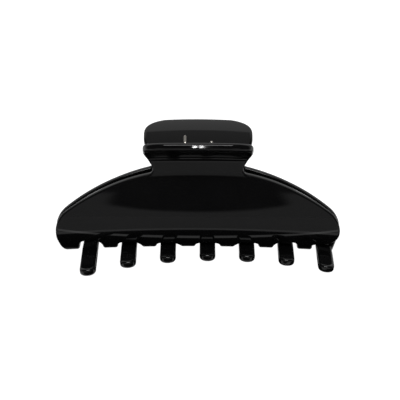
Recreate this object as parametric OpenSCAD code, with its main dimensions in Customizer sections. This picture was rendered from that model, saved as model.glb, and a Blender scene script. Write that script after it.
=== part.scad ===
// Claw clip: two identical bent plates with interlocking teeth, joined by a sprung hinge.
// X runs along the clip, the front jaw is toward -Y, Z is up, and the lowest teeth stand on Z = 0.

/* [Jaw] */
// Length of the clip from end to end
clip_l = 104; // [103:0.5:105]
// Thickness of the plate that each jaw is bent from
plate_t = 2.8; // [2.6:0.1:2.9]
// Radius that the plates are bowed to along their length
bow_r = 150; // [148:1:160]
// Lean of the axis that they are bowed round, which lowers their ends
bow_lean = 29; // [27:1:30]
// Radius of the crescent's top edge in the front view
crest_r = 77.4; // [76:0.2:80]
// Radius of the crescent's upper corners
corner_r = 10; // [8:1:12]

/* [Teeth] */
// Teeth on each jaw
teeth = 7; // [5:2:7]
// Distance between neighbouring teeth
pitch = 14.2; // [14:0.1:14.3]
// Width of a tooth
tooth_w = 5.7; // [5:0.1:5.9]
// How far the middle of the row is off the middle of the jaw
tooth_shift = 3.5; // [3.4:0.05:3.6]
// Radius at the root of each tooth
root_r = 1.8; // [1:0.1:2.2]

/* [Handle] */
// Width of the handle at its widest
handle_w = 39.4; // [37:0.1:40]
// Width of the neck under the handle
neck_w = 33.2; // [32:0.1:34]

/* [Hinge] */
// Diameter of the pin
pin_d = 2; // [1.8:0.1:2.1]
// Diameter of the round end of each lug
lug_d = 4.9; // [4.6:0.1:5]
// Thickness of each lug along the pin
lug_t = 2.4; // [2:0.1:2.5]
// Diameter of the spring wire
wire_d = 1.1; // [0.9:0.1:1.2]

/* [Hidden] */
$fn = 64;
eps = 0.01;

// Height of the point that the section is drawn from above the surface the clip stands on
rise = 32.26;
// Height of the hinge axis above that point
pivot_h = 3.4;
pivot_z = rise + pivot_h;

// The plate's middle line in the section, going down from the handle's rim.
// It starts at [outward, up], leaning by rim_lean from the vertical, and each bend is [length, turn in degrees].
rim_start = [16.6, 14.33];
rim_lean = -73;
bends = [
    [7.7, 13], [3.2, 4], [5.2, 56], // handle, flaring outward
    [4.2, 8], [3.2, 14], [2, 2],    // neck at the hinge
    [9.5, -13], [6.5, -13],         // bulging shell
    [9.6, -85], [36, 0]             // lip, and the teeth reaching inward
];
degrees_per_step = 7;

function bend_end(p, a, bend) = bend_point(p, a, bend, 1);
function bend_point(p, a, bend, part) =
    bend[1] == 0
    ? p + bend[0] * part * [sin(a), -cos(a)]
    : let(r = bend[0] * 180 / (PI * bend[1]), b = a + bend[1] * part)
      p + r * [cos(a) - cos(b), sin(a) - sin(b)];
// Points [outward, up, lean] along the middle line
function section_path(p, a, k) =
    k == len(bends)
    ? [[p[0], p[1], a]]
    : let(bend = bends[k], steps = ceil(abs(bend[1]) / degrees_per_step) + 1)
      concat(
          [for (i = [0 : steps - 1])
              let(q = bend_point(p, a, bend, i / steps)) [q[0], q[1], a + bend[1] * i / steps]],
          section_path(bend_end(p, a, bend), a + bend[1], k + 1));
function offset_side(path, d) = [for (q = path) [q[0] + d * cos(q[2]), q[1] + d * sin(q[2])]];
function turned_round(list) = [for (i = [len(list) - 1 : -1 : 0]) list[i]];

path = section_path(rim_start, rim_lean, 0);
section = concat(offset_side(path, plate_t / 2), turned_round(offset_side(path, -plate_t / 2)));

// The bow's axis passes bow_r behind this height of the section
bow_h = -10;
// A section point [outward, up] as [distance from the bow's axis, height along it]
function bowed(q) = [
    bow_r + q[0] * cos(bow_lean) + (q[1] - bow_h) * sin(bow_lean),
    -q[0] * sin(bow_lean) + (q[1] - bow_h) * cos(bow_lean)
];
sweep_angle = 52;

// The bowed and bent strip that the front jaw is cut from
module strip() {
    translate([0, bow_r * cos(bow_lean), bow_h - bow_r * sin(bow_lean)])
        rotate([-bow_lean, 0, 0])
            rotate([0, 0, -90 - sweep_angle / 2])
                rotate_extrude(angle = sweep_angle, $fn = 360)
                    polygon([for (q = section) bowed(q)]);
}

// Round stretch of an outline from angle a0 to a1 about c
function arc(c, r, a0, a1, steps) =
    [for (i = [0 : steps]) let(a = a0 + (a1 - a0) * i / steps) c + r * [cos(a), sin(a)]];
function mirrored(list) = [for (q = turned_round(list)) [-q[0], q[1]]];

half_l = clip_l / 2;
crest_top = 2.7;
crest_c = [0, crest_top - crest_r];
corner_x = half_l - corner_r;
corner_z = crest_c[1] + sqrt(pow(crest_r - corner_r, 2) - pow(corner_x, 2));
corner_a = atan2(corner_z - crest_c[1], corner_x);
low_corner_r = 4.2;
low_z = -60;
// Angle past the widest point where the end slants in toward the first tooth
slant_a = 16;
slant_z = -29.5;

tooth_x = [for (i = [0 : teeth - 1]) (i - (teeth - 1) / 2) * pitch - tooth_shift];
first_edge = tooth_x[0] - tooth_w / 2;
last_edge = tooth_x[teeth - 1] + tooth_w / 2;

// The crescent and the block of plate that the teeth are cut from
crescent = concat(
    [[last_edge, low_z], [first_edge, low_z], [first_edge, slant_z]],
    arc([-corner_x, corner_z], corner_r, 180 + slant_a, 180 - corner_a, 12),
    arc(crest_c, crest_r, 180 - corner_a - 2, corner_a + 2, 30),
    arc([corner_x, corner_z], corner_r, corner_a, 0, 10),
    arc([half_l - low_corner_r, corner_z], low_corner_r, 0, -90, 8),
    [[last_edge, corner_z - low_corner_r]]
);

// The handle's top is a rounded oval of power 3, and its sides sweep in to the neck
handle_top = 15.75;
handle_mid = 12.2;
handle_low = 10.2;
neck_top = 4;
handle_steps = 16;
function oval(a) = [handle_w / 2 * pow(sin(a), 2 / 3), handle_mid + (handle_top - handle_mid) * pow(cos(a), 2 / 3)];
function swept(part) = [
    neck_w / 2 + (handle_w - neck_w) / 2 * (1 - pow(part, 1.25)),
    handle_low + (neck_top - handle_low) * part
];
neck_fillet = 1.2;
function crest_z(x) = crest_c[1] + sqrt(crest_r * crest_r - x * x);
neck_foot = crest_z(neck_w / 2 + neck_fillet) + neck_fillet;
half_handle = concat(
    [for (i = [0 : handle_steps]) oval(90 * i / handle_steps)],
    [for (i = [0 : 8]) swept(i / 8)],
    arc([neck_w / 2 + neck_fillet, neck_foot], neck_fillet, 180, 262, 6),
    [[neck_w / 2 + neck_fillet, crest_z(neck_w / 2 + neck_fillet) - 2]]
);

// Top of the slot between two teeth at x
slot_top = -24;
slot_arch = 1900;
function slot_z(x) = slot_top - x * x / slot_arch;

module slot(x) {
    w = pitch - tooth_w;
    z = slot_z(x);
    translate([x, z - root_r]) {
        translate([-w / 2, low_z]) square([w, -low_z]);
        translate([-w / 2 + root_r, 0]) square([w - 2 * root_r, root_r]);
        for (side = [-1, 1]) translate([side * (w / 2 - root_r), 0]) circle(root_r);
    }
}

// The front jaw seen from the front
module front_view() {
    difference() {
        union() {
            polygon(crescent);
            polygon(concat(mirrored(half_handle), half_handle));
        }
        for (i = [0 : teeth - 2]) slot(tooth_x[i] + pitch / 2);
    }
}

// How far back the tooth at x reaches
tip_reach = 18.4;
tip_skew = 0.09;
tip_bow_r = 425;
function tip_y(x) = tip_reach + tip_skew * x + x * x / tip_bow_r;

// The front jaw seen from above: open over the plate, with a round end on each tooth
module plan_view() {
    front_y = -30;
    translate([-half_l - 1, front_y]) square([clip_l + 2, -front_y + eps]);
    for (x = tooth_x) {
        round_y = tip_y(x) - tooth_w / 2;
        translate([x - tooth_w / 2, 0]) square([tooth_w, round_y]);
        translate([x, round_y]) circle(tooth_w / 2);
    }
}

module jaw() {
    translate([0, 0, rise])
        intersection() {
            strip();
            rotate([90, 0, 0]) linear_extrude(height = 100, center = true) front_view();
            translate([0, 0, -60]) linear_extrude(height = 100) plan_view();
        }
}

module front_jaw() {
    color([0.02, 0.02, 0.022]) jaw();
}

module back_jaw() {
    color([0.02, 0.02, 0.022]) rotate([0, 0, 180]) jaw();
}

// Lugs: each jaw has one outside the other jaw's and one inside it
lug_gap = 0.35;
outer_lug_x = 9.8;
inner_lug_x = outer_lug_x - lug_t - lug_gap;
pin_clear = 0.03;
foot_y = -3.15;
foot_h = 4;

// A lug of the front jaw at x, bored to hold the pin (clear = 0) or to turn on it
module lug(x, clear) {
    translate([x - lug_t / 2, 0, pivot_z])
        rotate([90, 0, 90])
            difference() {
                linear_extrude(height = lug_t)
                    union() {
                        circle(d = lug_d);
                        translate([foot_y, -foot_h / 2]) square([-foot_y, foot_h]);
                    }
                translate([0, 0, -1]) cylinder(d = pin_d + 2 * clear, h = lug_t + 2);
            }
}

module front_lug_left() {
    color([0.05, 0.05, 0.055]) lug(-outer_lug_x, 0);
}

module front_lug_right() {
    color([0.05, 0.05, 0.055]) lug(inner_lug_x, 0);
}

module back_lug_left() {
    color([0.05, 0.05, 0.055]) rotate([0, 0, 180]) lug(inner_lug_x, pin_clear);
}

module back_lug_right() {
    color([0.05, 0.05, 0.055]) rotate([0, 0, 180]) lug(-outer_lug_x, pin_clear);
}

pin_l = 2 * outer_lug_x + lug_t + 1;
module hinge_pin() {
    color("silver")
        translate([-pin_l / 2, 0, pivot_z]) rotate([0, 90, 0]) cylinder(d = pin_d, h = pin_l);
}

// The spring's coil, as a sleeve of its outer and inner size, and its two legs
coil_l = 2 * (inner_lug_x - lug_t / 2) - 0.8;
coil_gap = 0.3;
coil_r = pin_d / 2 + coil_gap + wire_d;
leg_x = (coil_l - wire_d) / 2 - 0.1;
// Points of the left leg, [back, up from the hinge], close to the back handle's inner face
leg_y = coil_r - wire_d / 2 - 0.05;
leg = [[leg_y, 0.45], [leg_y, 3.7], [3.5, 6.4], [6.4, 8.7]];

module rod(a, b) {
    run = b - a;
    length = norm(run);
    translate([0, a[0], a[1]])
        rotate([-atan2(run[0], run[1]), 0, 0])
            cylinder(d = wire_d, h = length);
}

module spring_leg() {
    translate([-leg_x, 0, pivot_z]) {
        for (i = [0 : len(leg) - 2]) rod(leg[i], leg[i + 1]);
        for (i = [1 : len(leg) - 1]) translate([0, leg[i][0], leg[i][1]]) sphere(d = wire_d + 0.1);
    }
}

module torsion_spring() {
    color("silver") {
        translate([-coil_l / 2, 0, pivot_z])
            rotate([0, 90, 0])
                difference() {
                    cylinder(r = coil_r, h = coil_l);
                    translate([0, 0, -1]) cylinder(r = coil_r - wire_d, h = coil_l + 2);
                }
        spring_leg();
        rotate([0, 0, 180]) spring_leg();
    }
}

front_jaw();
back_jaw();
front_lug_left();
front_lug_right();
back_lug_left();
back_lug_right();
hinge_pin();
torsion_spring();
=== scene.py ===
"""A glossy black claw clip on a pale table, in soft studio light.

Shapes are worked out in millimetres and handed to Blender in metres. Each jaw is one moulded plate: a
section that is bowed about a leaned axis, trimmed to an outline, and given rounded, polished edges.
"""
import math

import bpy
import numpy as np
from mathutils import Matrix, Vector
from mathutils.geometry import delaunay_2d_cdt


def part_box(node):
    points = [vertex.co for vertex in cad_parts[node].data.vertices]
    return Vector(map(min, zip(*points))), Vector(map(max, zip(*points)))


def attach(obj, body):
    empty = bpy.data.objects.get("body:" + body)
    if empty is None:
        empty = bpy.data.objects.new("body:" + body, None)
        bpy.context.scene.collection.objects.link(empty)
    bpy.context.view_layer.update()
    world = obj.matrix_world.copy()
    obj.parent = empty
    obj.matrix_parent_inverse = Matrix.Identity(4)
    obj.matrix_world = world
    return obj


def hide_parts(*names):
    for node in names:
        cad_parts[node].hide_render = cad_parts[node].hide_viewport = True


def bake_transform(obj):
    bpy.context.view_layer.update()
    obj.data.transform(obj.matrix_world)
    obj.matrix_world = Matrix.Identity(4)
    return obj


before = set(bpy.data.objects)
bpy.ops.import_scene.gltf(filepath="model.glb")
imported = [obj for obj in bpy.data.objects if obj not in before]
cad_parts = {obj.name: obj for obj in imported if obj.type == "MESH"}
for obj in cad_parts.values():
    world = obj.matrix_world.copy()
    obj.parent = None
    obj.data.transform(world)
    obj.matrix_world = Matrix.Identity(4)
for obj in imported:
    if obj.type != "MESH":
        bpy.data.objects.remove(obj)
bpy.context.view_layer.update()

MM = 0.001


# ---------------------------------------------------------------- places, from the frame, in millimetres
def node_box(name):
    """Low and high corners of a CAD node's box."""
    low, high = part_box(name)
    return np.array(low) / MM, np.array(high) / MM


jaw_low, jaw_high = node_box("front_jaw")
pin_low, pin_high = node_box("hinge_pin")
coil_low, coil_high = node_box("torsion_spring")

PIVOT_ABOVE_SECTION = 3.4                       # the section's own zero height is this far under the hinge
PIVOT_Z = (pin_low[2] + pin_high[2]) / 2
RISE = PIVOT_Z - PIVOT_ABOVE_SECTION
HALF_LENGTH = (jaw_high[0] - jaw_low[0]) / 2

# ---------------------------------------------------------------- the plate's section, as in the CAD
PLATE = 2.8
EDGE_ROUND = 1.0
RIM_START = (16.6, 14.33)
RIM_LEAN = -73.0
RIM_SLANT = math.radians(-7)                    # the rim's cut face is tipped up a little
HANDLE_BENDS = ((7.7, 13), (3.2, 4), (5.2, 56))
SHELL_BENDS = ((4.2, 8), (3.2, 14), (2, 2), (9.5, -13), (6.5, -13))
LIP_BENDS = ((9.6, -85), (36, 0))
BENDS = HANDLE_BENDS + SHELL_BENDS + LIP_BENDS
BOW_RADIUS = 150.0
BOW_LEAN = math.radians(29)
BOW_HEIGHT = -10.0
STEP = 0.05
BEND_SOFTENING = 1.6                            # a moulded bend starts and ends gently over this length
RIM_SLANT_ENDS = (1, 6)                         # the tipped cut face fades out between these lengths
SHELL_CUT_STARTS = (12.7, 15.7)                 # the cut straight from the front fades in between these
SHELL_CUT_ENDS = (38.7, 46.7)                   # and out between these
LIP_START = 44                                  # the teeth are all further down the plate than this


def section_table():
    """Length along the middle line, and its outward place, height and lean at each step."""
    lengths = np.array([bend[0] for bend in BENDS], float)
    turns = np.array([bend[1] for bend in BENDS], float)
    ends = np.concatenate([[0], np.cumsum(lengths)])
    leans = RIM_LEAN + np.concatenate([[0], np.cumsum(turns)])
    s = np.arange(0, ends[-1] + STEP / 2, STEP)
    lean = np.interp(s, ends, leans)
    width = int(BEND_SOFTENING / STEP)
    for _ in range(2):
        padded = np.pad(lean, width, mode="edge")
        lean = np.convolve(padded, np.ones(2 * width + 1) / (2 * width + 1), mode="valid")
    lean = np.radians(lean)
    middle = (lean[1:] + lean[:-1]) / 2
    out = RIM_START[0] + np.concatenate([[0], np.cumsum(np.sin(middle) * STEP)])
    up = RIM_START[1] - np.concatenate([[0], np.cumsum(np.cos(middle) * STEP)])
    return s, out, up, lean


TABLE_S, TABLE_OUT, TABLE_UP, TABLE_LEAN = section_table()


def smooth_step(value, start, end):
    """0 before start, 1 after end, and an easy rise between."""
    part = np.clip((value - start) / (end - start), 0, 1)
    return part * part * (3 - 2 * part)


def edge_slant(s):
    """How far the cut edges lean away from square: the shell's are cut straight from the front."""
    lean = np.interp(s, TABLE_S, TABLE_LEAN)
    shell = lean * smooth_step(s, *SHELL_CUT_STARTS) * (1 - smooth_step(s, *SHELL_CUT_ENDS))
    return shell + RIM_SLANT * (1 - smooth_step(s, *RIM_SLANT_ENDS))


def place(x, s, n):
    """Front jaw point for a place across (x) and down (s) the plate and n outward through it."""
    along = s + n * np.tan(edge_slant(s))
    lean = np.interp(along, TABLE_S, TABLE_LEAN)
    past = along - np.clip(along, TABLE_S[0], TABLE_S[-1])
    out = np.interp(along, TABLE_S, TABLE_OUT) + past * np.sin(lean)
    up = np.interp(along, TABLE_S, TABLE_UP) - past * np.cos(lean)
    lever = out * math.cos(BOW_LEAN) + (up - BOW_HEIGHT) * math.sin(BOW_LEAN) + BOW_RADIUS
    offset = np.cos(lean) * math.cos(BOW_LEAN) + np.sin(lean) * math.sin(BOW_LEAN)
    outer = lever + PLATE / 2 * offset
    radius = lever + n * offset
    sine = x / outer
    bow = radius * (1 - np.sqrt(1 - sine * sine))
    return np.stack([
        radius * sine,
        -(out + n * np.cos(lean)) + bow * math.cos(BOW_LEAN),
        RISE + up + n * np.sin(lean) - bow * math.sin(BOW_LEAN),
    ], axis=-1)


def down_to_height(x, z, n=0.0):
    """Length down the plate at x where its layer n outward is at section height z."""
    heights = place(np.full_like(TABLE_S, x), TABLE_S, n)[:, 2] - RISE
    return float(np.interp(-z, -heights, TABLE_S))


def down_to_depth(x, y):
    """Length down the plate at x where a tooth has reached the depth y."""
    lip = TABLE_S > LIP_START
    depths = place(np.full(lip.sum(), x), TABLE_S[lip], 0.0)[:, 1]
    return float(np.interp(y, depths, TABLE_S[lip]))


# ---------------------------------------------------------------- the jaw's outline
CREST_RADIUS = 77.4
CREST_TOP = 2.7
CORNER_RADIUS = 10.0
CORNER_X = HALF_LENGTH - CORNER_RADIUS + 0.25    # the edge's rounding takes this back
CREST_Z = CREST_TOP - CREST_RADIUS
CORNER_Z = CREST_Z + math.sqrt((CREST_RADIUS - CORNER_RADIUS) ** 2 - CORNER_X ** 2)
CORNER_ANGLE = math.degrees(math.atan2(CORNER_Z - CREST_Z, CORNER_X))
LOW_CORNER = 4.2
END_SLANT = 16.0
SLANT_Z = -29.5
HANDLE_WIDTH = 39.8
HANDLE_TOP = 15.75
HANDLE_MIDDLE = 12.2
HANDLE_POWER = 2.8
SIDES_START = 9.6
SIDES_LENGTH = 8.0
NECK_WIDTH = 33.2
NECK_FILLET = 1.2
TEETH = 7
PITCH = 14.2
TOOTH_WIDTH = 5.7
TOOTH_SHIFT = 3.5
SLOT_TOP = -24.0
SLOT_ARCH = 1900.0
ROOT_ROUND = 1.4
OUTER_ROOT_ROUND = 3.2                          # on the side of a tooth away from the middle
TIP_REACH = 18.4                                # depth of a tooth's tip at x = 0
TIP_SKEW = 0.09
TIP_BOW = 425.0
SIDES_POWER = 1.6
FILLET_END = 262                                # the neck's fillet ends on the crest at this angle
CREST_OVERRUN = 5.6                             # the crest runs on this far past the corner's centre
TOOTH_X = [(i - (TEETH - 1) / 2) * PITCH - TOOTH_SHIFT for i in range(TEETH)]


def arc(cx, cz, radius, start, end, steps):
    """Points of an arc about a centre, between two angles in degrees."""
    angles = np.radians(np.linspace(start, end, steps + 1))
    return [(cx + radius * math.cos(a), cz + radius * math.sin(a)) for a in angles]


def crest_height(x):
    """Height of the shell's arched upper edge at x."""
    return CREST_Z + math.sqrt(CREST_RADIUS ** 2 - x * x)


def half_handle():
    """Right half of the handle as (x, s): an oval top, drawn on the face inside the bend, and sides that
    narrow to a fillet on the shell."""
    top, sides = [], []
    for angle in np.radians(np.linspace(0, 90, 24)):
        x = HANDLE_WIDTH / 2 * math.sin(angle) ** (2 / HANDLE_POWER)
        up = (HANDLE_TOP - HANDLE_MIDDLE) * max(math.cos(angle), 0.0) ** (2 / HANDLE_POWER)
        top.append((x, down_to_height(x, HANDLE_MIDDLE + up, -PLATE / 2)))
    for part in np.linspace(0, 1, 12):
        x = NECK_WIDTH / 2 + (HANDLE_WIDTH - NECK_WIDTH) / 2 * (1 - part ** SIDES_POWER)
        sides.append((x, SIDES_START + SIDES_LENGTH * part))
    foot_x = NECK_WIDTH / 2 + NECK_FILLET
    fillet = arc(foot_x, crest_height(foot_x) + NECK_FILLET, NECK_FILLET, 180, FILLET_END, 6)
    return top + sides + [(x, down_to_height(x, z)) for x, z in fillet]


def tip_depth(x):
    """How far from the hinge's plane the tooth at x reaches."""
    return TIP_REACH + TIP_SKEW * x + x * x / TIP_BOW


def tooth(x):
    """Outline of the tooth at x in the flat plate, from its right edge to its left."""
    half = TOOTH_WIDTH / 2
    round_y = tip_depth(x) - half
    turned = []
    for angle in np.linspace(0, 180, 17):
        px = x + half * math.cos(math.radians(angle))
        py = round_y + half * math.sin(math.radians(angle))
        turned.append((px, down_to_depth(px, py)))
    return turned


def slot(x):
    """Top of the slot at x in the flat plate, from right to left."""
    half = (PITCH - TOOTH_WIDTH) / 2
    top = down_to_height(x, SLOT_TOP - x * x / SLOT_ARCH)
    right_round = OUTER_ROOT_ROUND if x < -PITCH / 2 else ROOT_ROUND
    left_round = OUTER_ROOT_ROUND if x > PITCH / 2 else ROOT_ROUND
    right = arc(x + half - right_round, -right_round, right_round, 0, 90, 8)
    left = arc(x - half + left_round, -left_round, left_round, 90, 180, 8)
    return [(px, top - rise) for px, rise in right + left]


def outline():
    """The whole edge of the flat plate, clockwise from the top of the handle, as (x, s)."""
    handle = half_handle()
    first_shoulder = NECK_WIDTH / 2 + NECK_FILLET * 1.5
    shoulder = [(x, crest_height(x)) for x in np.linspace(first_shoulder, CORNER_X + CREST_OVERRUN, 40)]
    right = shoulder + arc(CORNER_X, CORNER_Z, CORNER_RADIUS, CORNER_ANGLE, 0, 14)
    right += arc(CORNER_X + CORNER_RADIUS - LOW_CORNER, CORNER_Z, LOW_CORNER, 0, -90, 8)
    right += [(TOOTH_X[-1] + TOOTH_WIDTH / 2, CORNER_Z - LOW_CORNER)]
    edge = handle + [(x, down_to_height(x, z)) for x, z in right]
    for i in range(TEETH - 1, -1, -1):
        edge += tooth(TOOTH_X[i])
        if i > 0:
            edge += slot(TOOTH_X[i] - PITCH / 2)
    left = [(TOOTH_X[0] - TOOTH_WIDTH / 2, SLANT_Z)]
    left += arc(-CORNER_X, CORNER_Z, CORNER_RADIUS, 180 + END_SLANT, 180 - CORNER_ANGLE, 16)
    left += [(-x, z) for x, z in shoulder[::-1]]
    edge += [(x, down_to_height(x, z)) for x, z in left]
    return np.array(edge + [(-x, along) for x, along in handle[:0:-1]])


def even_closed(points, spacing, softness):
    """A closed line resampled evenly, with its corners rounded by a soft average."""
    closed = np.vstack([points, points[:1]])
    lengths = np.concatenate([[0], np.cumsum(np.linalg.norm(np.diff(closed, axis=0), axis=1))])
    count = int(lengths[-1] / spacing)
    at = np.linspace(0, lengths[-1], count, endpoint=False)
    line = np.stack([np.interp(at, lengths, closed[:, k]) for k in range(2)], axis=1)
    reach = int(4 * softness / spacing)         # the average's weights are nil past four widths
    weights = np.exp(-0.5 * (np.arange(-reach, reach + 1) * spacing / softness) ** 2)
    weights /= weights.sum()
    wrapped = np.vstack([line[-reach:], line, line[:reach]])
    return np.stack([np.convolve(wrapped[:, k], weights, mode="valid") for k in range(2)], axis=1)


def inward_normals(line):
    """Unit normals pointing into a closed clockwise line whose second coordinate grows downward."""
    ahead = np.roll(line, -1, axis=0) - np.roll(line, 1, axis=0)
    normal = np.stack([-ahead[:, 1], ahead[:, 0]], axis=1)
    area = 0.5 * np.sum(line[:, 0] * np.roll(line[:, 1], -1) - np.roll(line[:, 0], -1) * line[:, 1])
    return normal / np.linalg.norm(normal, axis=1)[:, None] * math.copysign(1, area)


def distance_to(points, line):
    """Distance from each point to the closest of the line's points."""
    best = []
    for part in np.array_split(points, 8):      # in parts, to keep the arrays small
        gaps = np.linalg.norm(part[:, None, :] - line[None, :, :], axis=2)
        best.append(gaps.min(axis=1))
    return np.concatenate(best)


def inside(points, line):
    """Which points lie inside the closed line."""
    x, y = points[:, 0], points[:, 1]
    result = np.zeros(len(points), bool)
    for (ax, ay), (bx, by) in zip(line, np.roll(line, -1, axis=0)):
        crosses = (ay > y) != (by > y)
        if by != ay:
            result ^= crosses & (x < (bx - ax) * (y - ay) / (by - ay) + ax)
    return result


# ---------------------------------------------------------------- the jaw's mesh
EDGE_SPACING = 0.35
CORNER_SOFTNESS = 0.45
GRID = 1.0
GRID_CLEARANCE = EDGE_ROUND + 0.45 * GRID       # the grid keeps this far from the outline
EDGE_STEPS = 5


def surface_normals(x, s, n, flat):
    """World normals of places in the plate, from their normals in the flat plate."""
    gap = 1e-3
    columns = [
        (place(x + gap, s, n) - place(x - gap, s, n)) / (2 * gap),
        (place(x, s + gap, n) - place(x, s - gap, n)) / (2 * gap),
        (place(x, s, n + gap) - place(x, s, n - gap)) / (2 * gap),
    ]
    turned = np.stack(columns, axis=1)          # rows of the transposed Jacobian
    normals = np.linalg.solve(turned, flat[:, :, None])[:, :, 0]
    return normals / np.linalg.norm(normals, axis=1)[:, None]


def edge_rings(edge):
    """The rounded edge as rings, from the middle of the cut to the flat: places, depths and normals."""
    inward = inward_normals(edge)
    count = len(edge)
    flat, depth, slope = [], [], []
    for k in range(EDGE_STEPS + 1):
        angle = math.pi / 2 * k / EDGE_STEPS
        flat.append(edge + inward * EDGE_ROUND * (1 - math.cos(angle)))
        depth.append(np.full(count, PLATE / 2 - EDGE_ROUND + EDGE_ROUND * math.sin(angle)))
        slope.append(np.column_stack([-inward * math.cos(angle), np.full(count, math.sin(angle))]))
    return flat, depth, slope


def inner_grid(edge):
    """Evenly spaced places inside the outline, clear of its rounded edge."""
    low, high = edge.min(axis=0), edge.max(axis=0)
    xs, ss = np.meshgrid(np.arange(low[0], high[0], GRID), np.arange(low[1], high[1], GRID))
    grid = np.column_stack([xs.ravel(), ss.ravel()])
    grid = grid[inside(grid, edge)]
    return grid[distance_to(grid, edge) > GRID_CLEARANCE]


def filled(ring, grid):
    """Triangles that fill a closed ring through the grid's points, numbered from the ring's first."""
    count = len(ring)
    wanted = np.vstack([ring, grid])
    ring_edges = [(i, (i + 1) % count) for i in range(count)]
    inside_only = 1
    result = delaunay_2d_cdt([Vector(p) for p in wanted], ring_edges, [], inside_only, 1e-5)
    if len(result[0]) != len(wanted):
        raise ValueError("the plate's outline crosses itself")
    origin = [source[0] for source in result[3]]
    return [tuple(origin[i] for i in face) for face in result[2] if len(face) == 3]


def plate_faces(count, side_count, triangles):
    """Faces of both sides of the plate, the inner side's mirrored from the outer's, and the cut between."""
    faces = []
    for k in range(EDGE_STEPS):
        for i in range(count):
            j = (i + 1) % count
            a, b, c, d = k * count + i, k * count + j, (k + 1) * count + j, (k + 1) * count + i
            faces.append((a, b, c, d))
            faces.append((side_count + d, side_count + c, side_count + b, side_count + a))
    for triangle in triangles:
        a, b, c = (v + EDGE_STEPS * count for v in triangle)
        faces.append((a, b, c))
        faces.append((side_count + c, side_count + b, side_count + a))
    for i in range(count):
        j = (i + 1) % count
        faces.append((side_count + i, side_count + j, j, i))
    return faces


def plate_mesh():
    """Vertices, normals and faces of the front jaw, in millimetres."""
    edge = even_closed(outline(), EDGE_SPACING, CORNER_SOFTNESS)
    flat, depth, slope = edge_rings(edge)
    grid = inner_grid(edge)
    triangles = filled(flat[-1], grid)
    side_flat = np.vstack(flat + [grid])
    side_depth = np.concatenate(depth + [np.full(len(grid), PLATE / 2)])
    side_slope = np.vstack(slope + [np.tile([0.0, 0.0, 1.0], (len(grid), 1))])
    x = np.tile(side_flat[:, 0], 2)
    s = np.tile(side_flat[:, 1], 2)
    n = np.concatenate([side_depth, -side_depth])
    normals = np.vstack([side_slope, side_slope * [1, 1, -1]])
    faces = plate_faces(len(edge), len(side_flat), triangles)
    return place(x, s, n), surface_normals(x, s, n, normals), faces


def new_mesh(name, vertices, normals, faces):
    """A piece with smooth faces and the normals that were worked out for it."""
    mesh = bpy.data.meshes.new(name)
    mesh.from_pydata([tuple(v) for v in np.asarray(vertices) * MM], [], faces)
    mesh.validate()
    mesh.polygons.foreach_set("use_smooth", [True] * len(mesh.polygons))
    mesh.normals_split_custom_set_from_vertices([tuple(v) for v in normals])
    piece = bpy.data.objects.new(name, mesh)
    bpy.context.scene.collection.objects.link(piece)
    return piece


def facing_out(vertices, normals, faces):
    """The same mesh, with each face turned the way its corners' normals point."""
    turned = []
    for face in faces:
        corners = vertices[list(face)]
        front = np.cross(corners[1] - corners[-1], corners[2] - corners[0])
        if np.dot(front, normals[list(face)].sum(axis=0)) < 0:
            face = face[::-1]
        turned.append(face)
    return vertices, normals, turned


def jaw(name, node, half_turn, material):
    """A jaw's plate; the back jaw is the front one turned half a turn."""
    vertices, normals, faces = PLATE_MESH
    if half_turn:
        vertices = vertices * [-1, -1, 1]
        normals = normals * [-1, -1, 1]
    piece = new_mesh(name, vertices, normals, faces)
    piece.data.materials.append(material)
    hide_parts(node)
    return piece


# ---------------------------------------------------------------- the spring, pin and lugs
WIRE = 1.1
COIL_RADIUS = 1.85
COIL_TURNS = 8                                  # and a half, so that the legs leave on opposite sides
STEPS_PER_TURN = 28
COIL_END = coil_high[0] - WIRE / 2 - 0.1
LEG_BEND = 1.2
BACK_LEG = ((1.8, 3.6), (3.5, 6.4), (5.4, 8.2))     # out from the pin and up from it
FRONT_LEG = ((1.8, 3.6), (3.5, 6.6), (6.6, 9.6))
ASKEW = (0.3, 0.2, 0.9)                         # any direction that the wire doesn't start in
WIRE_DOME = 0.55                                # height of the wire's end domes, in wire radii
DOME_ANGLES = (12, 35, 62)
PIN_SIDES = 32
SMALLEST_RING = 0.02                            # radius of the ring round the middle of a pin's head
STEEPEST = 6                                    # limit on the slope that a pin's normals follow
PIN_HEAD = ((0.0, 0.0), (0.55, 0.02), (0.8, 0.12), (0.95, 0.32), (1.0, 0.55), (1.0, 1.0))


def rounded_path(points, radius, steps=8):
    """A line of straight stretches with a round bend at each corner."""
    path = [np.array(points[0], float)]
    for before, corner, after in zip(points, points[1:], points[2:]):
        before, corner, after = (np.array(p, float) for p in (before, corner, after))
        a = (before - corner) / np.linalg.norm(before - corner)
        b = (after - corner) / np.linalg.norm(after - corner)
        half = math.acos(np.clip(np.dot(a, b), -1, 1)) / 2
        reach = min(radius / math.tan(half), 0.45 * np.linalg.norm(before - corner),
                    0.45 * np.linalg.norm(after - corner))
        for t in np.linspace(0, 1, steps + 1):
            start, end = corner + a * reach, corner + b * reach
            path.append((1 - t) ** 2 * start + 2 * t * (1 - t) * corner + t * t * end)
    path.append(np.array(points[-1], float))
    return path


def ring_faces(rings, sides):
    """Faces between rings of points, and over the first and the last ring."""
    faces = []
    for i in range(rings - 1):
        for k in range(sides):
            j = (k + 1) % sides
            faces.append((i * sides + k, i * sides + j, (i + 1) * sides + j, (i + 1) * sides + k))
    faces.append(tuple(range(sides))[::-1])
    faces.append(tuple((rings - 1) * sides + k for k in range(sides)))
    return faces


def frames_along(path):
    """At each point of a path: the point, the way ahead, and two directions across that don't twist."""
    ahead = np.gradient(path, axis=0)
    ahead /= np.linalg.norm(ahead, axis=1)[:, None]
    across = np.cross(ahead[0], ASKEW)
    frames = []
    for point, direction in zip(path, ahead):
        across = across - direction * np.dot(across, direction)
        across /= np.linalg.norm(across)
        frames.append((point, direction, across, np.cross(direction, across)))
    return frames


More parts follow.
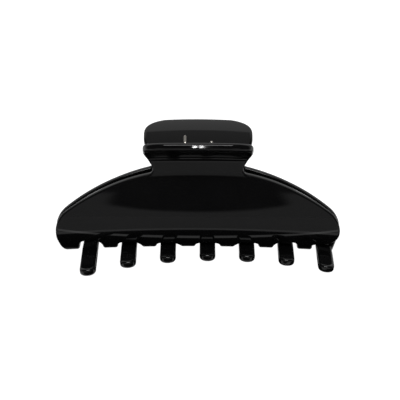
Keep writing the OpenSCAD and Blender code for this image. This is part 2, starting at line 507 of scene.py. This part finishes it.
def dome(end, sign, radius):
    """Rings of the wire's domed end, from the tip inward; sign is -1 for the start and 1 for the end."""
    point, direction, side, up = end
    rings = []
    for angle in np.radians(DOME_ANGLES):
        centre = point + sign * direction * radius * WIRE_DOME * math.cos(angle)
        rings.append((centre, radius * math.sin(angle), sign * math.cos(angle), math.sin(angle),
                      direction, side, up))
    return rings


def tube(path, radius, sides=16):
    """Vertices, normals and faces of a round wire along a path, with domed ends."""
    frames = frames_along(np.array(path))
    body = [(point, radius, 0.0, 1.0, direction, side, up) for point, direction, side, up in frames]
    rings = dome(frames[0], -1, radius) + body + dome(frames[-1], 1, radius)[::-1]
    vertices, normals = [], []
    for centre, size, forward, outward, direction, side, up in rings:
        for k in range(sides):
            angle = 2 * math.pi * k / sides
            spoke = side * math.cos(angle) + up * math.sin(angle)
            vertices.append(centre + spoke * size)
            normals.append(spoke * outward + direction * forward)
    return np.array(vertices), np.array(normals), ring_faces(len(rings), sides)


def coil():
    """Points of the coil round the pin, from its back left to its front right."""
    points = []
    steps = STEPS_PER_TURN * COIL_TURNS + STEPS_PER_TURN // 2
    for i in range(steps + 1):
        angle = -math.pi * (2 * COIL_TURNS + 1) * i / steps
        x = -COIL_END + 2 * COIL_END * i / steps
        points.append(np.array((x, COIL_RADIUS * math.cos(angle), PIVOT_Z + COIL_RADIUS * math.sin(angle))))
    return points


def spring(material):
    """One length of wire: up the back handle, round the pin, and up the front handle."""
    left = [(-COIL_END, out, PIVOT_Z + up) for out, up in BACK_LEG[::-1]]
    left.append((-COIL_END, COIL_RADIUS, PIVOT_Z))
    right = [(COIL_END, -COIL_RADIUS, PIVOT_Z)]
    right += [(COIL_END, -out, PIVOT_Z + up) for out, up in FRONT_LEG]
    path = rounded_path(left, LEG_BEND)[:-1] + coil() + rounded_path(right, LEG_BEND)[1:]
    piece = new_mesh("spring_wire", *facing_out(*tube(path, WIRE / 2)))
    piece.data.materials.append(material)
    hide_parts("torsion_spring")
    return piece


def turned_pin(material):
    """The pin, its ends swaged into small domed heads."""
    radius = (pin_high[2] - pin_low[2]) / 2
    reach = (pin_high[0] - pin_low[0]) / 2
    stations = [(-reach + depth, size * radius) for size, depth in PIN_HEAD]
    stations += [(reach - depth, size * radius) for size, depth in PIN_HEAD[::-1]]
    slopes = np.gradient([size for _, size in stations], [x for x, _ in stations])
    vertices, normals = [], []
    for (x, size), slope in zip(stations, slopes):
        for k in range(PIN_SIDES):
            angle = 2 * math.pi * k / PIN_SIDES
            spoke = np.array([0, math.cos(angle), math.sin(angle)])
            vertices.append(np.array([x, 0, PIVOT_Z]) + spoke * max(size, SMALLEST_RING))
            normals.append(spoke + np.array([-np.clip(slope, -STEEPEST, STEEPEST), 0, 0]))
    normals = np.array(normals)
    normals /= np.linalg.norm(normals, axis=1)[:, None]
    faces = ring_faces(len(stations), PIN_SIDES)
    piece = new_mesh("hinge_rivet", *facing_out(np.array(vertices), normals, faces))
    piece.data.materials.append(material)
    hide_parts("hinge_pin")
    return piece


# ---------------------------------------------------------------- materials
NOISE_LOW = 0.3                                 # nearly all of a noise texture lies between these
NOISE_HIGH = 0.7
POLISH = (0.035, 0.085)                         # the acetate's roughness, from its best to its worst


def node_material(name):
    """A new material with its nodes, links and shader."""
    material = bpy.data.materials.new(name)
    material.use_nodes = True
    nodes = material.node_tree.nodes
    return material, nodes, material.node_tree.links, nodes["Principled BSDF"]


def noise(nodes, links, scale, detail, coordinates=None):
    """Cloudy noise over the object, or over other coordinates."""
    texture = nodes.new("ShaderNodeTexNoise")
    texture.inputs["Scale"].default_value = scale
    texture.inputs["Detail"].default_value = detail
    if coordinates is None:
        coordinates = nodes.new("ShaderNodeTexCoord").outputs["Object"]
    links.new(coordinates, texture.inputs["Vector"])
    return texture.outputs["Fac"]


def mapped(nodes, links, value, low, high):
    """A noise value as a number from low to high."""
    node = nodes.new("ShaderNodeMapRange")
    node.inputs["From Min"].default_value = NOISE_LOW
    node.inputs["From Max"].default_value = NOISE_HIGH
    node.inputs["To Min"].default_value = low
    node.inputs["To Max"].default_value = high
    links.new(value, node.inputs["Value"])
    return node.outputs["Result"]


def bumped(nodes, links, shader, value, strength, distance):
    """Uneven height on the surface, by a noise value."""
    node = nodes.new("ShaderNodeBump")
    node.inputs["Strength"].default_value = strength
    node.inputs["Distance"].default_value = distance
    links.new(value, node.inputs["Height"])
    links.new(node.outputs["Normal"], shader.inputs["Normal"])


def tinted(nodes, links, shader, value, dark, light):
    """Base colour from dark to light, by a noise value."""
    ramp = nodes.new("ShaderNodeValToRGB")
    ramp.color_ramp.elements[0].position = NOISE_LOW
    ramp.color_ramp.elements[1].position = NOISE_HIGH
    ramp.color_ramp.elements[0].color = (*dark, 1)
    ramp.color_ramp.elements[1].color = (*light, 1)
    links.new(value, ramp.inputs["Fac"])
    links.new(ramp.outputs["Color"], shader.inputs["Base Color"])


def black_acetate():
    """Polished black plastic: near-mirror gloss, cloudy in its polish, and not quite even."""
    material, nodes, links, shader = node_material("black_acetate")
    cloud = noise(nodes, links, 90, 3)
    tinted(nodes, links, shader, cloud, (0.0040, 0.0040, 0.0043), (0.0056, 0.0056, 0.0060))
    polish = noise(nodes, links, 140, 4)
    links.new(mapped(nodes, links, polish, *POLISH), shader.inputs["Roughness"])
    shader.inputs["IOR"].default_value = 1.5
    bumped(nodes, links, shader, noise(nodes, links, 70, 1), 0.05, 0.0004)
    return material


def bright_steel(name, dark, light, rough):
    """Drawn steel: fine lines along the metal, in the colour of its plating."""
    material, nodes, links, shader = node_material(name)
    stretch = nodes.new("ShaderNodeMapping")
    stretch.inputs["Scale"].default_value = (0.15, 1, 1)
    links.new(nodes.new("ShaderNodeTexCoord").outputs["Object"], stretch.inputs["Vector"])
    lines = noise(nodes, links, 2600, 2, stretch.outputs["Vector"])
    tinted(nodes, links, shader, lines, dark, light)
    links.new(mapped(nodes, links, lines, rough * 0.8, rough * 1.3), shader.inputs["Roughness"])
    shader.inputs["Metallic"].default_value = 1.0
    bumped(nodes, links, shader, lines, 0.06, 0.00005)
    return material


# ---------------------------------------------------------------- the studio
# A patch of the walls, in degrees: side from, to and softness; height from, to and softness. Side is how
# far round from the front, either way, and height is above the horizon.
FRONT = -9                                      # less than any side, so the patch goes right across the front
OPENING = (FRONT, 26.5, 2.5, 5.5, 60, 2)        # the dark room in front
CEILING = (FRONT, 100, 8, 23, 60, 2)
WINGS = (48, 100, 4, -90, 60, 2)
REAR_WALL = (120, 400, 15, 24, 73.2, 0.7)
SOFTBOX = (FRONT, 30, 3, 46, 56, 2)
OPENING_SILL = 0.010                            # its sill rises with the square of the side
WALL_LIGHT = 0.27
REAR_WALL_EXTRA = 0.36
SOFTBOX_LIGHT = 8.0
DARKENING = 0.86                                # of the opening, the ceiling and the wings
SEEN_WHITE = 1.05                               # the table and the room as seen directly

# Bands on the table: from, to and softness, in millimetres in front of the clip's middle. The shade band is
# painted shade and the two lines are painted lines of light, in what the clip reflects of the table.
TABLE_FRONT = (-2, 9000, 3)
PAINTED_SHADE_BAND = (-2, 46, 3)
NEAR_PAINTED_LIGHT = (17, 22, 0.8)
FAR_PAINTED_LIGHT = (46, 56, 2)
NEAR_CURVE = -0.0025                            # the bands bend with the square of the distance across
FAR_CURVE = 0.007
TABLE_PAINT = (0.34, 0.37)
# painted shade: how far the shade band darkens the table's paint
PAINTED_SHADE_DARKENING = 0.92
TABLE_GLOW = 0.46
FRONT_LOSS = 0.34
# painted shade: glow taken away in the shade band
PAINTED_SHADE_LOSS = 0.12
# painted lines of light: glow added along the near and far line
NEAR_PAINTED_LIGHT_GLOW = 0.60
FAR_PAINTED_LIGHT_GLOW = 0.25
TABLE_HALF = 2.5                                # metres


def math_node(tree, operation, a, b=None, c=None):
    """A math node of the tree; each value is a number or another node's output."""
    node = tree.nodes.new("ShaderNodeMath")
    node.operation = operation
    for socket, value in zip(node.inputs, (a, b, c)):
        if value is None:
            continue
        if isinstance(value, (int, float)):
            socket.default_value = value
        else:
            tree.links.new(value, socket)
    return node.outputs["Value"]


def band(tree, value, low, high, soft):
    """1 where value is between low and high, fading to 0 over soft at each end."""
    rise = tree.nodes.new("ShaderNodeMapRange")
    fall = tree.nodes.new("ShaderNodeMapRange")
    for node, start, end in ((rise, low - soft, low + soft), (fall, high + soft, high - soft)):
        node.interpolation_type = "SMOOTHSTEP"
        node.inputs["From Min"].default_value = start
        node.inputs["From Max"].default_value = end
        tree.links.new(value, node.inputs["Value"])
    return math_node(tree, "MULTIPLY", rise.outputs["Result"], fall.outputs["Result"])


def patch(tree, side, height, limits):
    """1 on a patch of the walls and 0 elsewhere."""
    return math_node(tree, "MULTIPLY", band(tree, side, *limits[:3]), band(tree, height, *limits[3:]))


def seen_white(tree):
    """White where the camera sees it directly, 0 where it is reflected or lights something."""
    seen = tree.nodes.new("ShaderNodeLightPath").outputs["Is Camera Ray"]
    return math_node(tree, "MULTIPLY", seen, SEEN_WHITE)


def wall_angles(tree):
    """Side and height of the direction looked in, in degrees."""
    axes = tree.nodes.new("ShaderNodeSeparateXYZ")
    tree.links.new(tree.nodes.new("ShaderNodeTexCoord").outputs["Generated"], axes.inputs["Vector"])
    x, y, z = (axes.outputs[k] for k in "XYZ")
    degrees = 180 / math.pi
    height = math_node(tree, "MULTIPLY", math_node(tree, "ARCSINE", z), degrees)
    turned = math_node(tree, "ARCTAN2", x, math_node(tree, "MULTIPLY", y, -1.0))
    side = math_node(tree, "ABSOLUTE", math_node(tree, "MULTIPLY", turned, degrees))
    return side, height


def studio_world():
    """Grey walls, brighter behind, with a dark room in front, a dark ceiling and wings, and a softbox."""
    world = bpy.data.worlds.new("studio")
    bpy.context.scene.world = world
    world.use_nodes = True
    tree = world.node_tree
    side, height = wall_angles(tree)
    sill = math_node(tree, "MULTIPLY", math_node(tree, "MULTIPLY", side, side), -OPENING_SILL)
    opening = patch(tree, side, math_node(tree, "ADD", height, sill), OPENING)
    dark = math_node(tree, "MAXIMUM", patch(tree, side, height, CEILING), patch(tree, side, height, WINGS))
    dark = math_node(tree, "MAXIMUM", opening, dark)
    light = math_node(tree, "MULTIPLY_ADD", patch(tree, side, height, REAR_WALL), REAR_WALL_EXTRA, WALL_LIGHT)
    light = math_node(tree, "MULTIPLY", light, math_node(tree, "MULTIPLY_ADD", dark, -DARKENING, 1.0))
    light = math_node(tree, "MULTIPLY_ADD", patch(tree, side, height, SOFTBOX), SOFTBOX_LIGHT, light)
    light = math_node(tree, "MAXIMUM", light, seen_white(tree))
    background = tree.nodes["Background"]
    tree.links.new(light, background.inputs["Strength"])
    background.inputs["Color"].default_value = (1.0, 1.0, 1.0, 1)


def table_bands(tree):
    """The table's front, the clip's painted shade on it, and the near and far painted line of light in front
    of the clip.
    """
    axes = tree.nodes.new("ShaderNodeSeparateXYZ")
    tree.links.new(tree.nodes.new("ShaderNodeTexCoord").outputs["Object"], axes.inputs["Vector"])
    forward = math_node(tree, "MULTIPLY", axes.outputs["Y"], -1 / MM)
    across = math_node(tree, "MULTIPLY", axes.outputs["X"], 1 / MM)
    spread = math_node(tree, "MULTIPLY", across, across)
    near = math_node(tree, "MULTIPLY_ADD", spread, NEAR_CURVE, forward)
    far = math_node(tree, "MULTIPLY_ADD", spread, FAR_CURVE, forward)
    front = band(tree, forward, *TABLE_FRONT)
    shade = band(tree, far, *PAINTED_SHADE_BAND)
    return front, shade, band(tree, near, *NEAR_PAINTED_LIGHT), band(tree, far, *FAR_PAINTED_LIGHT)


def white_table():
    """Pale paint. Seen directly it is evenly white; what the clip reflects of it is dimmer in front, with the
    clip's shade painted on close by and painted lines of light."""
    material, nodes, links, shader = node_material("white_table")
    tree = material.node_tree
    shader.inputs["Roughness"].default_value = 0.9
    shader.inputs["Specular IOR Level"].default_value = 0.0
    shader.inputs["Emission Color"].default_value = (1, 1, 1, 1)
    front, shade, near_painted_light, far_painted_light = table_bands(tree)
    paint = mapped(nodes, links, noise(nodes, links, 25, 3), *TABLE_PAINT)
    # painted shade: the paint is darkened in the band close in front of the clip
    lit = math_node(tree, "MULTIPLY_ADD", shade, -PAINTED_SHADE_DARKENING, 1.0)
    links.new(math_node(tree, "MULTIPLY", paint, lit), shader.inputs["Base Color"])
    glow = math_node(tree, "MULTIPLY_ADD", front, -FRONT_LOSS, TABLE_GLOW)
    # painted shade in the glow
    glow = math_node(tree, "MULTIPLY_ADD", shade, -PAINTED_SHADE_LOSS, glow)
    # painted lines of light in the glow
    glow = math_node(tree, "MULTIPLY_ADD", near_painted_light, NEAR_PAINTED_LIGHT_GLOW, glow)
    glow = math_node(tree, "MULTIPLY_ADD", far_painted_light, FAR_PAINTED_LIGHT_GLOW, glow)
    links.new(math_node(tree, "MAXIMUM", glow, seen_white(tree)), shader.inputs["Emission Strength"])
    return material


def table_top():
    """The square the clip stands on."""
    low, high = -TABLE_HALF, TABLE_HALF
    mesh = bpy.data.meshes.new("table_top")
    mesh.from_pydata([(low, low, 0), (high, low, 0), (high, high, 0), (low, high, 0)], [], [(0, 1, 2, 3)])
    mesh.materials.append(white_table())
    top = bpy.data.objects.new("table_top", mesh)
    bpy.context.scene.collection.objects.link(top)


# Two small lamps in front, high enough to show only on the handle's rim.
LAMP_ANGLE = math.radians(33.8)
LAMP_DISTANCE = 1.2
LAMP_SIZE = (0.021, 0.0020)
LAMP_POWER = 0.030
LAMPS = (("lamp_left", -0.0194), ("lamp_right", 0.0178))


def lamp(name, x):
    """A narrow lamp at x, aimed at the top of the clip."""
    data = bpy.data.lights.new(name, "AREA")
    data.shape = "RECTANGLE"
    data.size, data.size_y = LAMP_SIZE
    data.energy = LAMP_POWER
    light = bpy.data.objects.new(name, data)
    aim = Vector((0, 0, RISE * MM))
    back = -LAMP_DISTANCE * math.cos(LAMP_ANGLE)
    light.location = (x, back, LAMP_DISTANCE * math.sin(LAMP_ANGLE) + RISE * MM)
    light.rotation_euler = (aim - light.location).to_track_quat("-Z", "Y").to_euler()
    bpy.context.scene.collection.objects.link(light)


CAMERA_HEIGHT_ANGLE = math.radians(18.0)
CAMERA_DISTANCE = 0.790
FRAME_WIDTH = 0.146                             # seen width at the clip
CAMERA_AIM = (0.75 * MM, 0.0, (RISE - 10.9) * MM)
CAMERA_ROLL = math.radians(0.22)


def camera():
    """The camera, looking down at the clip from the front."""
    data = bpy.data.cameras.new("camera")
    data.lens = data.sensor_width * CAMERA_DISTANCE / FRAME_WIDTH
    data.clip_start = 0.01
    view = bpy.data.objects.new("camera", data)
    back = Vector((0, -math.cos(CAMERA_HEIGHT_ANGLE), math.sin(CAMERA_HEIGHT_ANGLE)))
    view.location = Vector(CAMERA_AIM) + back * CAMERA_DISTANCE
    turn = back.to_track_quat("Z", "Y").to_matrix().to_4x4()
    roll = turn @ turn.Rotation(CAMERA_ROLL, 4, "Z")
    view.rotation_euler = roll.to_euler()
    bpy.context.scene.collection.objects.link(view)
    bpy.context.scene.camera = view


# ---------------------------------------------------------------- putting it together
camera()
studio_world()
table_top()
for lamp_name, lamp_x in LAMPS:
    lamp(lamp_name, lamp_x)
bpy.context.scene.view_settings.view_transform = "Standard"

acetate = black_acetate()
steel = bright_steel("polished_steel", (0.55, 0.54, 0.52), (0.74, 0.72, 0.69), 0.16)
black_nickel = bright_steel("black_nickel", (0.05, 0.05, 0.052), (0.10, 0.10, 0.105), 0.22)
wire_steel = bright_steel("spring_wire_steel", (0.80, 0.76, 0.69), (0.97, 0.93, 0.86), 0.14)

PLATE_MESH = facing_out(*plate_mesh())
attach(jaw("front_shell", "front_jaw", False, acetate), "front")
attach(jaw("back_shell", "back_jaw", True, acetate), "back")
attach(turned_pin(steel), "front")
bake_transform(spring(wire_steel))
for lug in ("front_lug_left", "front_lug_right", "back_lug_left", "back_lug_right"):
    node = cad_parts[lug]
    node.data.materials.clear()
    node.data.materials.append(black_nickel)
